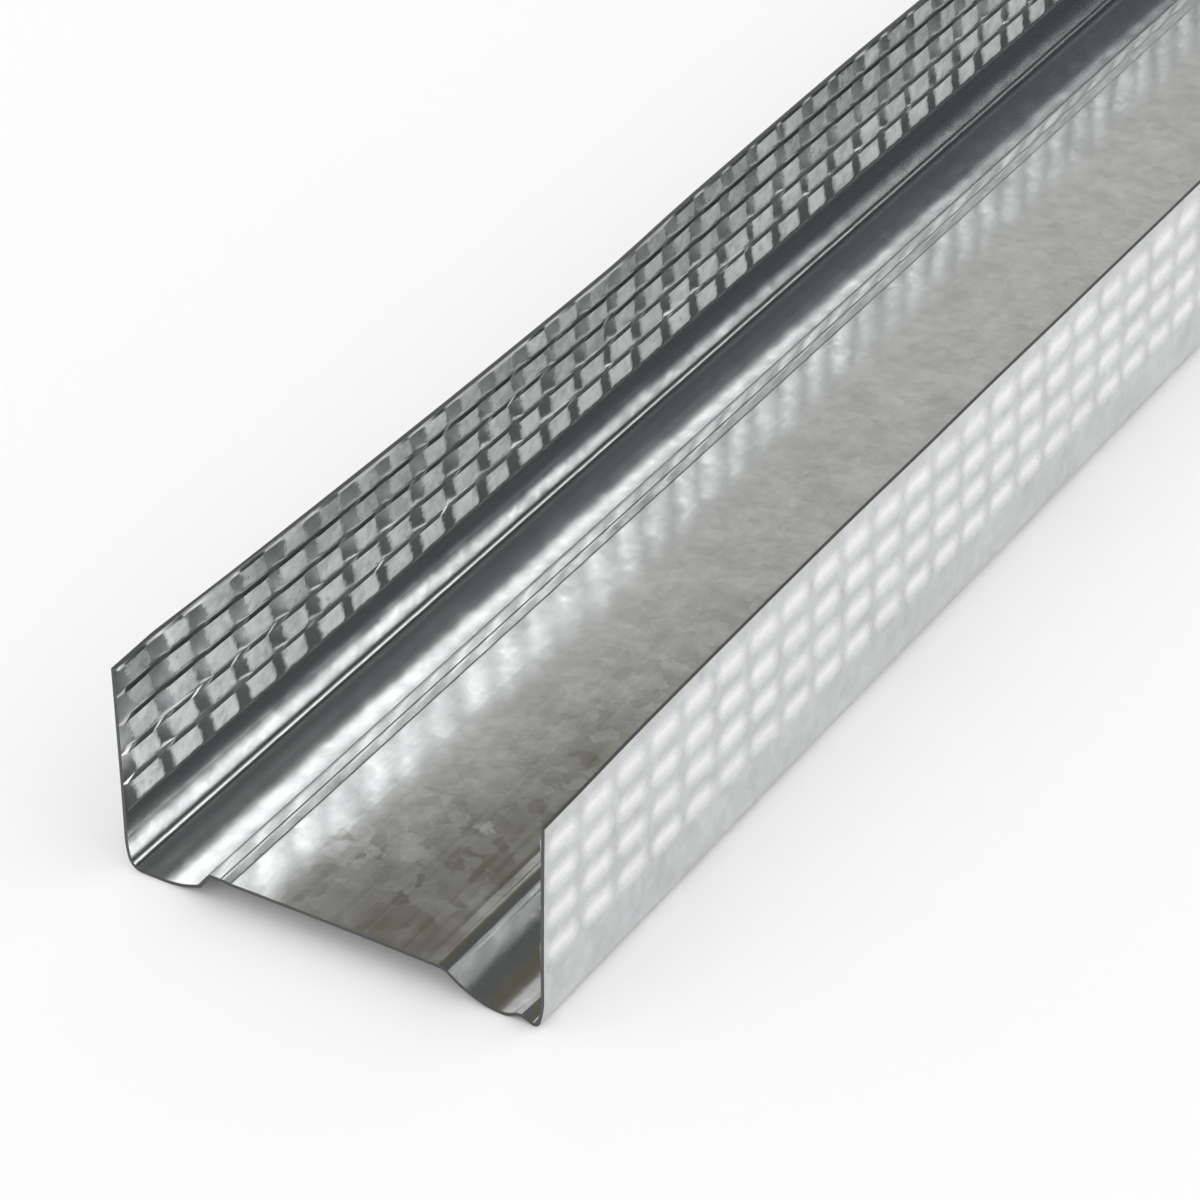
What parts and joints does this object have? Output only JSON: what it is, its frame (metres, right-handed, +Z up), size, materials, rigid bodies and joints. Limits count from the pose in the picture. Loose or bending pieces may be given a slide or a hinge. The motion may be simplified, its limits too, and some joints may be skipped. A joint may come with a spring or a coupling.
{
  "type": "drywall track",
  "caption": "Shallow U-shaped galvanised steel track with embossed legs and a raised web, fixed along a floor or ceiling to hold the ends of partition studs.",
  "frame": {"origin": "centre of the track's length and width, level with the underside of its feet", "axes": "+Y along the length, +X across the web, +Z up the legs, away from the floor that the feet lie on"},
  "size_m": [0.0644, 3.048, 0.0318],
  "materials": {
    "galvanised_steel": "hot-dip galvanised, faint spangle"
  },
  "bodies": {
    "root": {"track": "galvanised_steel"}
  },
  "joints": []
}
